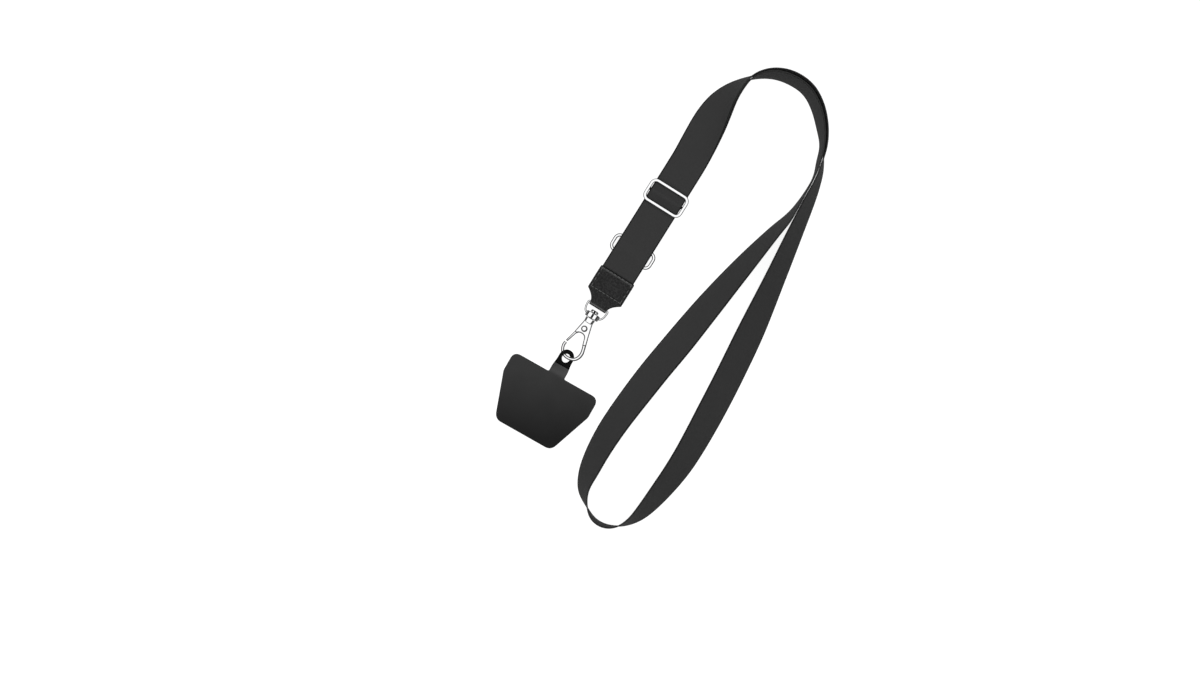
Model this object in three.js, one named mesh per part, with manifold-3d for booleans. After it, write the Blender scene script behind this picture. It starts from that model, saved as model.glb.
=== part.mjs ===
import * as THREE from 'three';
import { mergeVertices } from 'three/addons/utils/BufferGeometryUtils.js';
import Module from 'manifold-3d';

// Phone crossbody strap, lying on a table. Millimetres, +Z up. While it is drawn, +Y runs along
// the front strand from the snap hook towards the slider, and the leather is folded near X = Y = 0.

// Gaps
const clearance = 0.3;

// Webbing, one length for the whole loop
const webWidth = 25;
const webThick = 1;
const loopLength = 330;
const loopWidth = 112;
const facetLength = 6;

// Leather end patch, folded over the bar of the swivel loop
const leafThick = 1;
const leatherWidth = 26.9;
const leatherLength = 26.3;
const neckWidth = 13.2;
const shoulderLength = 8.5;

// Wire slider
const sliderPlace = 88.5;
const sliderWidth = 30.4;
const sliderLength = 17.2;
const sliderWire = 2;
const sliderCorner = 2.9;
const sliderBar = 1.8;
const tailLength = 20;

// Oval ring behind the front strand
const ringPlace = 45.2;
const ringWidth = 32.8;
const ringLength = 13.5;
const ringWire = 2.3;
const ringCorner = 3.6;

// Swivel loop and its block
const bailWire = 1.4;
const barPlace = 0.8;
const bailWidth = 16.8;
const blockTop = 5.2;
const blockLength = 3.9;
const blockWidth = 10;
const blockHeight = 8.2;
const postWidth = 3;

// Snap hook
const headWidth = 5.6;
const headLength = 1.8;
const collarWidth = 7.2;
const collarLength = 3.4;
const hookLength = 32.1;
const hookWidth = 15.2;
const bodyThick = 4.8;
const bowWire = 1.9;
const gateThick = 2;
const rivetWidth = 2.2;
const rivetHead = 4;

// Tether patch
const tetherThick = 1;
const tetherWidth = 67;
const tetherLength = 47;
const tetherFoot = 44;
const tetherCorner = 5.6;
const tetherSide = 14.6;
const tabWidth = 12.2;
const tabLength = 19.6;
const holeWidth = 6.4;
const tabRoll = THREE.MathUtils.degToRad(40);
const tetherTurn = THREE.MathUtils.degToRad(2.5);

// One layer of webbing and the gap over it
const layer = webThick + clearance;

// Heights of the hard parts over the table, from what lies under them
const ringHeight = layer + ringWire / 2;
const railHeight = 4 * layer + sliderWire / 2;
const barHeight = railHeight - 0.9 * (sliderWire + sliderBar) / 2;
const leatherHeight = 2 * (leafThick + clearance) + 3 * layer - clearance;
const hookHeight = tabWidth / 2 * Math.sin(tabRoll) + tetherThick / 2 * Math.cos(tabRoll) + clearance / 3;

const acrossX = new THREE.Vector3(1, 0, 0);
const upZ = new THREE.Vector3(0, 0, 1);

const wasm = await Module();
wasm.setup();

function toSolid(geometry) {
  const bare = geometry.clone();
  bare.deleteAttribute('normal');
  bare.deleteAttribute('uv');
  const merged = mergeVertices(bare.index ? bare.toNonIndexed() : bare, 1e-4);
  const vertProperties = new Float32Array(merged.attributes.position.array);
  const triVerts = new Uint32Array(merged.index.array);
  return new wasm.Manifold(new wasm.Mesh({ numProp: 3, vertProperties, triVerts }));
}

function toGeometry(solid) {
  const mesh = solid.getMesh();
  const geometry = new THREE.BufferGeometry();
  geometry.setAttribute('position', new THREE.BufferAttribute(mesh.vertProperties, 3));
  geometry.setIndex(new THREE.BufferAttribute(mesh.triVerts, 1));
  geometry.computeVertexNormals();
  return geometry;
}

// A body lofted through stations. A station has its middle (at), the direction of its width
// (side), half its width (half) and half its thickness (deep). The section is a rectangle, or a
// ring of as many points as sides says. A mirrored station turns the other diagonal of its faces,
// so that two strands that lie on each other in opposite directions have the same facets.
function loft(stations, sides = 0) {
  const corners = sides ? roundSection(sides) : [[1, 1], [-1, 1], [-1, -1], [1, -1]];
  const count = corners.length;
  const last = stations.length - 1;
  const points = [];
  stations.forEach((station, index) => {
    const before = stations[Math.max(index - 1, 0)].at;
    const after = stations[Math.min(index + 1, last)].at;
    const travel = station.travel ?? after.clone().sub(before).normalize();
    const side = station.side.clone().addScaledVector(travel, -travel.dot(station.side)).normalize();
    const normal = side.clone().cross(travel);
    for (const [a, b] of corners) {
      const point = station.at.clone();
      point.addScaledVector(side, a * station.half).addScaledVector(normal, b * station.deep);
      points.push(point.x, point.y, point.z);
    }
  });
  const faces = [];
  for (let ring = 0; ring < last; ring++) {
    for (let k = 0; k < count; k++) {
      const next = (k + 1) % count;
      const a = ring * count + k;
      const b = ring * count + next;
      if (stations[ring].mirrored) faces.push(a, a + count, b + count, a, b + count, b);
      else faces.push(a, a + count, b, b, a + count, b + count);
    }
  }
  for (let k = 1; k < count - 1; k++) {
    faces.push(0, k, k + 1);
    faces.push(last * count, last * count + k + 1, last * count + k);
  }
  const geometry = new THREE.BufferGeometry();
  geometry.setAttribute('position', new THREE.BufferAttribute(new Float32Array(points), 3));
  geometry.setIndex(faces);
  geometry.computeVertexNormals();
  return geometry;
}

function roundSection(sides) {
  const turn = 2 * Math.PI / sides;
  return Array.from({ length: sides }, (_, k) => [Math.cos(k * turn), Math.sin(k * turn)]);
}

// A closed wire that follows a flat outline at one height
class FlatLoop extends THREE.Curve {
  constructor(outline, height) {
    super();
    this.outline = outline;
    this.height = height;
  }

  getPoint(t) {
    const point = this.outline.getPoint(t);
    return new THREE.Vector3(point.x, point.y, this.height);
  }
}

function wireLoop(outline, height, wire, steps) {
  return new THREE.TubeGeometry(new FlatLoop(outline, height), steps, wire / 2, 10, true);
}

function roundedBox(width, length, corner, middle) {
  const x = width / 2;
  const y = length / 2;
  const shape = new THREE.Path();
  shape.moveTo(-x + corner, middle - y);
  shape.lineTo(x - corner, middle - y);
  shape.absarc(x - corner, middle - y + corner, corner, -Math.PI / 2, 0);
  shape.lineTo(x, middle + y - corner);
  shape.absarc(x - corner, middle + y - corner, corner, 0, Math.PI / 2);
  shape.lineTo(-x + corner, middle + y);
  shape.absarc(-x + corner, middle + y - corner, corner, Math.PI / 2, Math.PI);
  shape.lineTo(-x, middle - y + corner);
  shape.absarc(-x + corner, middle - y + corner, corner, Math.PI, 1.5 * Math.PI);
  return shape;
}

function rod(length, width, sides, middle, turnX = 0, turnZ = 0) {
  const geometry = new THREE.CylinderGeometry(width / 2, width / 2, length, sides);
  geometry.rotateX(turnX).rotateZ(turnZ).translate(middle.x, middle.y, middle.z);
  return geometry;
}

// A route in the plane of Y and Z that bends round rods. A stop has a place (y, z) and a bend
// radius: positive where the route turns left round it, negative where it turns right, 0 at a plain
// point. Straight stretches get a point every step.
function beltRoute(stops, step) {
  const headings = [];
  for (let k = 0; k < stops.length - 1; k++) {
    const a = stops[k];
    const b = stops[k + 1];
    const gap = Math.hypot(b.y - a.y, b.z - a.z);
    headings.push(Math.atan2(b.z - a.z, b.y - a.y) - Math.asin((b.bend - a.bend) / gap));
  }
  const route = [];
  stops.forEach((stop, k) => {
    const from = headings[Math.max(k - 1, 0)];
    const to = headings[Math.min(k, headings.length - 1)];
    let turn = (to - from) % (2 * Math.PI);
    if (stop.bend > 0 && turn < -1e-6) turn += 2 * Math.PI;
    if (stop.bend < 0 && turn > 1e-6) turn -= 2 * Math.PI;
    const arcs = stop.bend ? Math.max(1, Math.ceil(Math.abs(turn) / 0.36)) : 0;
    for (let j = 0; j <= arcs; j++) {
      const heading = from + turn * (arcs ? j / arcs : 0);
      const place = { y: stop.y + stop.bend * Math.sin(heading), z: stop.z - stop.bend * Math.cos(heading) };
      const end = route[route.length - 1];
      if (end && j === 0) {
        const pieces = Math.ceil(Math.hypot(place.y - end.y, place.z - end.z) / step);
        for (let m = 1; m < pieces; m++) {
          const share = m / pieces;
          route.push({ y: end.y + (place.y - end.y) * share, z: end.z + (place.z - end.z) * share });
        }
      }
      route.push(place);
    }
  });
  return route;
}

// Bend of a webbing layer round a rod: layers already on the rod are counted from 0
function wrap(rodWidth, layers = 0) {
  return rodWidth / 2 + clearance + webThick / 2 + layers * layer;
}

function beltStations(stops) {
  return beltRoute(stops, facetLength).map(({ y, z }) => ({
    at: new THREE.Vector3(0, y, z),
    side: acrossX,
    half: webWidth / 2,
    deep: webThick / 2,
  }));
}

// Where the two strands lie on each other, from the slider over the top of the loop. Across and
// along are shares of the loop's width and length, lean is the webbing's turn on edge in degrees,
// and apart is the distance from one layer's middle to the other's in layers.
const pairTable = [
  { across: 0, along: 0.363, lean: 0, apart: 1 },
  { across: -0.009, along: 0.406, lean: 8, apart: 1.3 },
  { across: -0.021, along: 0.455, lean: 24, apart: 1.9 },
  { across: -0.022, along: 0.496, lean: 44, apart: 2.3 },
  { across: -0.002, along: 0.537, lean: 66, apart: 2.5 },
  { across: 0.051, along: 0.58, lean: 90, apart: 2.2 },
  { across: 0.143, along: 0.609, lean: 100, apart: 1.8 },
  { across: 0.256, along: 0.623, lean: 104, apart: 2 },
  { across: 0.392, along: 0.621, lean: 104, apart: 2 },
  { across: 0.503, along: 0.599, lean: 104, apart: 2 },
  { across: 0.589, along: 0.569, lean: 102, apart: 2 },
  { across: 0.66, along: 0.535, lean: 95, apart: 1.9 },
];

// The single strand on from there: down the right side, round the bottom and up the left side
const singleTable = [
  { across: 0.717, along: 0.49, lean: 82 },
  { across: 0.76, along: 0.43, lean: 77 },
  { across: 0.792, along: 0.347, lean: 66 },
  { across: 0.832, along: 0.24, lean: 54 },
  { across: 0.885, along: 0.101, lean: 40 },
  { across: 0.925, along: -0.039, lean: 39 },
  { across: 0.944, along: -0.18, lean: 46 },
  { across: 0.926, along: -0.254, lean: 55 },
  { across: 0.896, along: -0.314, lean: 67 },
  { across: 0.862, along: -0.345, lean: 79 },
  { across: 0.812, along: -0.368, lean: 90 },
  { across: 0.739, along: -0.381, lean: 95 },
  { across: 0.657, along: -0.38, lean: 95 },
  { across: 0.595, along: -0.366, lean: 90 },
  { across: 0.525, along: -0.342, lean: 74 },
  { across: 0.486, along: -0.298, lean: 57 },
  { across: 0.467, along: -0.214, lean: 46 },
  { across: 0.499, along: -0.069, lean: 38 },
  { across: 0.536, along: 0.025, lean: 38 },
  { across: 0.573, along: 0.121, lean: 44 },
  { across: 0.625, along: 0.235, lean: 57 },
  { across: 0.67, along: 0.339, lean: 71 },
  { across: 0.69, along: 0.385, lean: 80 },
  { across: 0.71, along: 0.434, lean: 87 },
  { across: 0.699, along: 0.47, lean: 87 },
  { across: 0.671, along: 0.502, lean: 85 },
];

// The free part of the loop, as the middle and the width direction of the webbing at each row
function freeRows() {
  const rows = [...pairTable, ...singleTable].map((row) => ({
    x: row.across * loopWidth,
    y: row.along * loopLength,
    lean: THREE.MathUtils.degToRad(row.lean),
    apart: (row.apart ?? 0) * layer,
  }));
  const front = rows.map((row, k) => {
    const before = rows[Math.max(k - 1, 0)];
    const after = rows[Math.min(k + 1, rows.length - 1)];
    const travel = new THREE.Vector3(after.x - before.x, after.y - before.y, 0).normalize();
    const right = new THREE.Vector3(travel.y, -travel.x, 0);
    const side = right.multiplyScalar(Math.cos(row.lean)).addScaledVector(upZ, Math.sin(row.lean));
    const normal = side.clone().cross(travel);
    const stand = (webWidth * Math.sin(row.lean) + webThick * Math.abs(Math.cos(row.lean))) / 2;
    const height = stand + Math.max(0, Math.cos(row.lean)) * row.apart;
    return { at: new THREE.Vector3(row.x, row.y, height), side, normal, apart: row.apart };
  });
  const rear = front.slice(0, pairTable.length).reverse();
  const back = rear.map(({ at, side, normal, apart }) => ({
    at: at.clone().addScaledVector(normal, -apart),
    side,
  }));
  return [...front, ...back];
}

// A smooth curve through the rows, with a station every facetLength or so
function freeStations() {
  const rows = freeRows();
  const middle = new THREE.CatmullRomCurve3(rows.map((row) => row.at), false, 'centripetal');
  const spans = rows.length - 1;
  const stations = [];
  for (let k = 0; k < spans; k++) {
    const pieces = Math.ceil(rows[k].at.distanceTo(rows[k + 1].at) / facetLength);
    for (let m = 0; m < pieces; m++) {
      const share = m / pieces;
      const ease = share * share * (3 - 2 * share);
      stations.push({
        at: middle.getPoint((k + share) / spans),
        side: rows[k].side.clone().lerp(rows[k + 1].side, ease).normalize(),
        mirrored: k > spans / 2,
      });
    }
  }
  stations.push({ at: rows[spans].at, side: rows[spans].side });
  return stations.map((station) => ({ ...station, half: webWidth / 2, deep: webThick / 2 }));
}

const railReach = (sliderLength - sliderWire) / 2;
const ringReach = (ringLength - ringWire) / 2;
const sewnStart = 0.37 * leatherLength;
const frontInLeather = leafThick + clearance + 2 * layer + webThick / 2;
const frontOverRing = ringHeight + wrap(ringWire, 1);

function strap() {
  const pairStart = pairTable[0].along * loopLength;
  const frontStart = beltStations([
    { y: sewnStart, z: frontInLeather, bend: 0 },
    { y: leatherLength + clearance, z: frontInLeather, bend: 0 },
    { y: ringPlace - ringReach, z: frontOverRing, bend: 0 },
    { y: ringPlace + ringReach, z: frontOverRing, bend: 0 },
    { y: sliderPlace - railReach, z: railHeight, bend: wrap(sliderWire) },
    { y: sliderPlace, z: barHeight, bend: -wrap(sliderBar, 1) },
    { y: sliderPlace + railReach, z: railHeight, bend: wrap(sliderWire) },
    { y: pairStart, z: webThick / 2 + layer, bend: 0 },
  ]);
  const rearEnd = beltStations([
    { y: pairStart, z: webThick / 2, bend: 0 },
    { y: ringPlace + ringReach, z: ringHeight, bend: -wrap(ringWire) },
    { y: sliderPlace - railReach, z: railHeight, bend: wrap(sliderWire, 1) },
    { y: sliderPlace, z: barHeight, bend: -wrap(sliderBar) },
    { y: sliderPlace - railReach, z: railHeight, bend: -wrap(sliderWire, 2) },
    { y: sliderPlace - tailLength, z: webThick / 2 + layer, bend: 0 },
  ]);
  return loft([...frontStart.slice(0, -1), ...freeStations(), ...rearEnd.slice(1)]);
}

function ringKeeper() {
  const low = leafThick + clearance + webThick / 2;
  return loft(beltStations([
    { y: sewnStart, z: low, bend: 0 },
    { y: leatherLength, z: low, bend: 0 },
    { y: ringPlace - ringReach, z: ringHeight, bend: wrap(ringWire) },
    { y: leatherLength, z: low + layer, bend: 0 },
    { y: sewnStart, z: low + layer, bend: 0 },
  ]));
}

// The patch narrows from its shoulders to the neck in a hollow curve
function leatherHalf(y) {
  const share = THREE.MathUtils.clamp(y / shoulderLength, 0, 1);
  return neckWidth / 2 + (leatherWidth - neckWidth) / 2 * share ** 2.1;
}

function leatherEnd() {
  const fold = bailWire / 2 + clearance + leafThick / 2;
  const step = shoulderLength / 8;
  const route = beltRoute([
    { y: leatherLength, z: leatherHeight - leafThick / 2, bend: 0 },
    { y: shoulderLength, z: leatherHeight - leafThick / 2, bend: 0 },
    { y: barPlace, z: hookHeight, bend: fold },
    { y: shoulderLength, z: leafThick / 2, bend: 0 },
    { y: leatherLength, z: leafThick / 2, bend: 0 },
  ], step);
  return loft(route.map(({ y, z }) => ({
    at: new THREE.Vector3(0, y, z),
    side: acrossX,
    half: leatherHalf(y),
    deep: leafThick / 2,
  })));
}

function slider() {
  const outline = roundedBox(sliderWidth - sliderWire, sliderLength - sliderWire, sliderCorner, sliderPlace);
  const frame = wireLoop(outline, railHeight, sliderWire, 56);
  const middle = new THREE.Vector3(0, sliderPlace, barHeight);
  const bar = rod(sliderWidth - sliderWire * 0.6, sliderBar, 10, middle, 0, Math.PI / 2);
  return toGeometry(toSolid(frame).add(toSolid(bar)));
}

function adjusterRing() {
  const outline = roundedBox(ringWidth - ringWire, ringLength - ringWire, ringCorner, ringPlace);
  return wireLoop(outline, ringHeight, ringWire, 56);
}

// The loop's wire runs through the fold of the leather and into both sides of the block
function swivelLoop() {
  const x = (bailWidth - bailWire) / 2;
  const low = -blockTop - blockLength / 2;
  const bend = bailWire * 0.8;
  const outline = new THREE.Path();
  outline.moveTo(-x + bend, barPlace);
  outline.lineTo(x - bend, barPlace);
  outline.quadraticCurveTo(x, barPlace, x, barPlace - bend);
  outline.bezierCurveTo(x, low * 0.62, x * 0.85, low, blockWidth / 2, low);
  outline.lineTo(-blockWidth / 2, low);
  outline.bezierCurveTo(-x * 0.85, low, -x, low * 0.62, -x, barPlace - bend);
  outline.quadraticCurveTo(-x, barPlace, -x + bend, barPlace);
  const wire = wireLoop(outline, hookHeight, bailWire, 56);
  const r = blockWidth / 2;
  const edge = blockLength * 0.12;
  const profile = [[0, 0], [r - edge, 0], [r, edge], [r, blockLength - edge], [r - edge, blockLength], [0, blockLength]];
  const block = new THREE.LatheGeometry(profile.map(([a, b]) => new THREE.Vector2(a, b)), 24);
  block.scale(1, 1, blockHeight / blockWidth);
  block.translate(0, -blockTop - blockLength, hookHeight);
  const bore = rod(blockLength * 2, postWidth + 2 * clearance, 16, new THREE.Vector3(0, low, hookHeight));
  return toGeometry(toSolid(wire).add(toSolid(block)).subtract(toSolid(bore)));
}

// Places on the hook, as shares of its length from the collar to the bow's end and of its width
const hookTop = -blockTop - blockLength - clearance;
const hookPoint = (side, down) => new THREE.Vector2(side * hookWidth, hookTop - down * hookLength);
const pivot = hookPoint(0, 0.256);

function plate(outline, thick, low, bevel = 0) {
  return new THREE.ExtrudeGeometry(outline, {
    depth: thick - 2 * bevel,
    bevelEnabled: bevel > 0,
    bevelThickness: bevel,
    bevelSize: bevel,
    bevelOffset: -bevel,
    bevelSegments: 2,
    curveSegments: 8,
  }).translate(0, 0, low + bevel);
}

function bodyOutline() {
  const shape = new THREE.Shape();
  const go = (side, down) => {
    const point = hookPoint(side, down);
    shape.lineTo(point.x, point.y);
  };
  const start = hookPoint(-0.2, 0.06);
  shape.moveTo(start.x, start.y);
  go(-0.325, 0.405);
  go(-0.21, 0.43);
  const rise = hookPoint(-0.15, 0.375);
  const crown = hookPoint(0.02, 0.375);
  shape.quadraticCurveTo(rise.x, rise.y, crown.x, crown.y);
  const fall = hookPoint(0.19, 0.375);
  const inner = hookPoint(0.235, 0.46);
  shape.quadraticCurveTo(fall.x, fall.y, inner.x, inner.y);
  go(0.32, 0.585);
  go(0.48, 0.565);
  go(0.2, 0.06);
  shape.closePath();
  return shape;
}

// Seen from the side, the body keeps its thickness past the rivet and then thins to the bow's
function sideTaper() {
  const shape = new THREE.Shape();
  const full = bodyThick / 2;
  const thin = bowWire * 0.58;
  const ends = [0, 0.34, 0.6].map((down) => hookTop - down * hookLength);
  shape.moveTo(ends[0], full);
  shape.lineTo(ends[1], full);
  shape.lineTo(ends[2], thin);
  shape.lineTo(ends[2], -thin);
  shape.lineTo(ends[1], -full);
  shape.lineTo(ends[0], -full);
  shape.closePath();
  const geometry = new THREE.ExtrudeGeometry(shape, { depth: 2 * hookWidth, bevelEnabled: false });
  geometry.translate(0, 0, -hookWidth);
  const turn = new THREE.Matrix4().makeBasis(new THREE.Vector3(0, 1, 0), upZ, acrossX);
  return geometry.applyMatrix4(turn).translate(0, 0, hookHeight);
}

// The bow from inside the body round to the nose that the gate closes on. Side and down are
// shares of the hook's width and length, wide is the section's width in wire widths.
const bowTable = [
  { side: 0.31, down: 0.42, wide: 1.5 },
  { side: 0.395, down: 0.55, wide: 1.45 },
  { side: 0.46, down: 0.65, wide: 1.25 },
  { side: 0.5, down: 0.74, wide: 1.15 },
  { side: 0.475, down: 0.84, wide: 1 },
  { side: 0.36, down: 0.925, wide: 1 },
  { side: 0.17, down: 0.965, wide: 1 },
  { side: -0.05, down: 0.97, wide: 1 },
  { side: -0.24, down: 0.935, wide: 1 },
  { side: -0.37, down: 0.855, wide: 1 },
  { side: -0.42, down: 0.765, wide: 1 },
  { side: -0.405, down: 0.7, wide: 1 },
];

function hookBody() {
  const r = { head: headWidth / 2, post: postWidth / 2, collar: collarWidth / 2 };
  const headBottom = -blockTop + clearance;
  const profile = [
    [0, hookTop - collarLength], [r.collar * 0.89, hookTop - collarLength],
    [r.collar, hookTop - collarLength * 0.25], [r.collar, hookTop], [r.post, hookTop],
    [r.post, headBottom], [r.head, headBottom], [r.head, headBottom + headLength * 0.7],
    [r.head * 0.75, headBottom + headLength], [0, headBottom + headLength],
  ];
  const turned = new THREE.LatheGeometry(profile.map(([a, b]) => new THREE.Vector2(a, b)), 18);
  turned.translate(0, 0, hookHeight);
  const body = toSolid(plate(bodyOutline(), bodyThick, hookHeight - bodyThick / 2, 0.7));
  const line = new THREE.CatmullRomCurve3(bowTable.map((row) => {
    const point = hookPoint(row.side, row.down);
    return new THREE.Vector3(point.x, point.y, hookHeight);
  }), false, 'centripetal');
  const steps = 3;
  const last = bowTable.length - 1;
  const stations = [];
  for (let k = 0; k <= last * steps; k++) {
    const row = Math.min(Math.floor(k / steps), last - 1);
    const share = k / steps - row;
    const wide = bowTable[row].wide + (bowTable[row + 1].wide - bowTable[row].wide) * share;
    stations.push({
      at: line.getPoint(k / steps / last),
      side: upZ,
      half: bowWire / 2 * Math.sqrt(wide),
      deep: bowWire / 2 * wide,
    });
  }
  const pocket = new THREE.Shape();
  pocket.absarc(pivot.x, pivot.y, gateEye + clearance, -0.35 * Math.PI, 0.75 * Math.PI);
  for (const [side, down] of [[-0.5, 0.35], [-0.5, 0.6], [0.16, 0.6], [0.16, 0.36]]) {
    const point = hookPoint(side, down);
    pocket.lineTo(point.x, point.y);
  }
  pocket.closePath();
  const pocketThick = gateThick + 2 * clearance;
  const room = plate(pocket, pocketThick, hookHeight - pocketThick / 2);
  const middle = new THREE.Vector3(pivot.x, pivot.y, hookHeight);
  const bore = rod(bodyThick * 2, rivetWidth + 2 * clearance, 14, middle, Math.PI / 2);
  const arm = body.intersect(toSolid(sideTaper()));
  const solid = toSolid(turned).add(arm).add(toSolid(loft(stations, 10)));
  return toGeometry(solid.subtract(toSolid(room)).subtract(toSolid(bore)));
}

// The gate is a flat lever with an eye on the rivet
const gateEye = 2.3;

function hookGate() {
  const arm = new THREE.Shape();
  const start = hookPoint(-0.14, 0.235);
  arm.moveTo(start.x, start.y);
  for (const [side, down] of [[-0.315, 0.4], [-0.45, 0.665], [-0.35, 0.675], [-0.2, 0.43], [0.04, 0.31]]) {
    const point = hookPoint(side, down);
    arm.lineTo(point.x, point.y);
  }
  arm.closePath();
  const low = hookHeight - gateThick / 2;
  const eye = new THREE.Shape();
  eye.absarc(pivot.x, pivot.y, gateEye, 0, 2 * Math.PI);
  const middle = new THREE.Vector3(pivot.x, pivot.y, hookHeight);
  const bore = rod(bodyThick * 2, rivetWidth + 2 * clearance, 14, middle, Math.PI / 2);
  const solid = toSolid(plate(arm, gateThick, low)).add(toSolid(plate(eye, gateThick, low)));
  return toGeometry(solid.subtract(toSolid(bore)));
}

function gateRivet() {
  const reach = bodyThick / 2 + clearance;
  const tip = reach + 0.6;
  const half = [rivetWidth / 2, rivetHead / 2];
  const profile = [
    [0, -tip], [half[1] * 0.7, -tip], [half[1], -reach], [half[0], -reach],
    [half[0], reach], [half[1], reach], [half[1] * 0.7, tip], [0, tip],
  ];
  const geometry = new THREE.LatheGeometry(profile.map(([a, b]) => new THREE.Vector2(a, b)), 14);
  return geometry.rotateX(Math.PI / 2).translate(pivot.x, pivot.y, hookHeight);
}

// The tether lies flat, and its tab rises and rolls so that the bow goes through the eyelet.
// It is drawn with the eyelet's middle at X = Y = 0.
function tetherPatch() {
  const round = tabWidth / 2;
  const bodyTop = round - tabLength;
  const bodyLow = bodyTop - tetherLength;
  const x = tetherWidth / 2;
  const foot = tetherFoot / 2;
  const c = tetherCorner;
  const outline = new THREE.Shape();
  outline.moveTo(-x + c, bodyTop);
  outline.quadraticCurveTo(-x, bodyTop, -x, bodyTop - c);
  outline.lineTo(-x, bodyTop - tetherSide);
  outline.lineTo(-foot - 1.7, bodyLow + 0.8 * c);
  outline.quadraticCurveTo(-foot, bodyLow, -foot + 0.8 * c, bodyLow);
  outline.lineTo(foot - 0.8 * c, bodyLow);
  outline.quadraticCurveTo(foot, bodyLow, foot + 1.7, bodyLow + 0.8 * c);
  outline.lineTo(x, bodyTop - tetherSide);
  outline.lineTo(x, bodyTop - c);
  outline.quadraticCurveTo(x, bodyTop, x - c, bodyTop);
  outline.closePath();
  const sheet = plate(outline, tetherThick, 0);
  const rows = 22;
  const stations = [];
  for (let k = 0; k <= rows; k++) {
    const y = bodyTop - c / 2 + (round - 0.12 - bodyTop + c / 2) * k / rows;
    const lifted = THREE.MathUtils.smoothstep(y, bodyTop + 2 * clearance, -round * 0.3);
    const roll = tabRoll * lifted;
    stations.push({
      at: new THREE.Vector3(0, y, tetherThick / 2 + (hookHeight - tetherThick / 2) * lifted),
      side: new THREE.Vector3(Math.cos(roll), 0, -Math.sin(roll)),
      half: y < 0 ? round : Math.sqrt(round * round - y * y),
      deep: tetherThick / 2,
    });
  }
  const hole = new THREE.CylinderGeometry(holeWidth / 2, holeWidth / 2, 4 * tetherThick, 20);
  hole.rotateX(Math.PI / 2).rotateY(tabRoll).translate(0, 0, hookHeight);
  const solid = toSolid(sheet).add(toSolid(loft(stations))).subtract(toSolid(hole));
  return toGeometry(solid).rotateZ(tetherTurn).translate(0, hookTop - hookLength * 1.01 , 0);
}

const finishes = {
  webbing: new THREE.MeshStandardMaterial({ color: 0x3a3a3a, roughness: 0.85, metalness: 0 }),
  leather: new THREE.MeshStandardMaterial({ color: 0x2e2e2e, roughness: 0.55, metalness: 0 }),
  chrome: new THREE.MeshStandardMaterial({ color: 0xe4e4e6, roughness: 0.12, metalness: 1 }),
  tether: new THREE.MeshStandardMaterial({ color: 0x2c2c2c, roughness: 0.7, metalness: 0 }),
};

const pieces = [
  { name: 'strap', make: strap, finish: 'webbing' },
  { name: 'ring_keeper', make: ringKeeper, finish: 'webbing' },
  { name: 'slider', make: slider, finish: 'chrome' },
  { name: 'adjuster_ring', make: adjusterRing, finish: 'chrome' },
  { name: 'leather_end', make: leatherEnd, finish: 'leather' },
  { name: 'swivel_loop', make: swivelLoop, finish: 'chrome' },
  { name: 'hook_body', make: hookBody, finish: 'chrome' },
  { name: 'hook_gate', make: hookGate, finish: 'chrome' },
  { name: 'gate_rivet', make: gateRivet, finish: 'chrome' },
  { name: 'tether_patch', make: tetherPatch, finish: 'tether' },
];

const part = new THREE.Group();
for (const { name, make, finish } of pieces) {
  const mesh = new THREE.Mesh(make(), finishes[finish].clone());
  mesh.name = name;
  part.add(mesh);
}

// The origin is the middle of the bottom of the part's box
const box = new THREE.Box3().setFromObject(part);
const middle = box.getCenter(new THREE.Vector3());
part.position.set(-middle.x, -middle.y, -box.min.z);
part.updateMatrixWorld(true);

export default part;
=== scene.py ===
import math

import bmesh
import bpy
from mathutils import Matrix, Vector


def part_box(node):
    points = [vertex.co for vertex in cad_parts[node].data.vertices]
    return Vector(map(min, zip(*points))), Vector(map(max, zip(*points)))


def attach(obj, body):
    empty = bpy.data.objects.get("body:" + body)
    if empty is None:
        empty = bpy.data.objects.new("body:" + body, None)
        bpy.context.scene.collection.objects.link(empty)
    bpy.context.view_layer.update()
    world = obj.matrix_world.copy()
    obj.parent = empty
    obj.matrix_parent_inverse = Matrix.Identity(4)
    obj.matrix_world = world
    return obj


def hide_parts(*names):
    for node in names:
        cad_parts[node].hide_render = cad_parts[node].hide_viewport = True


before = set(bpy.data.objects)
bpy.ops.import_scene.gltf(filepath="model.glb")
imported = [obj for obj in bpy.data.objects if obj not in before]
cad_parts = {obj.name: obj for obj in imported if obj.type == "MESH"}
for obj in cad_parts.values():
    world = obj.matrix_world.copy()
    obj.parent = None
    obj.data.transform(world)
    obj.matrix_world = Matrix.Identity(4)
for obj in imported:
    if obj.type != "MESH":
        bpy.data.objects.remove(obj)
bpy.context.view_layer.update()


# The table: a plain white top, lit a little from below, that the strap lies on, seen from straight
# above. A wide soft light hangs over all of it and the room beyond its rim is dark. Bright metal
# sees a tighter light with grey far walls, and doesn't mirror the top, so its edges stand out.
table_width = 5
view_width = 0.828
view_middle = (-0.0288, -0.0579)
view_turn = math.radians(32)
camera_height = 4
sensor_width = 36
light_lean = Vector((-0.12, 0.05, 1)).normalized()
light_cone = (math.cos(math.radians(62)), math.cos(math.radians(44)))
mirror_cone = (math.cos(math.radians(38)), math.cos(math.radians(24)))
light_strength = 1.75
room_strength = 0.03
wall_cone = (math.cos(math.radians(76)), math.cos(math.radians(60)))
wall_strength = 0.22
table_glow = 0.9


def add_node(tree, kind, inputs=None, **properties):
    node = tree.nodes.new(kind)
    for name, value in properties.items():
        setattr(node, name, value)
    for socket, value in (inputs or {}).items():
        if isinstance(value, bpy.types.NodeSocket):
            tree.links.new(value, node.inputs[socket])
        else:
            node.inputs[socket].default_value = value
    return node


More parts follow.
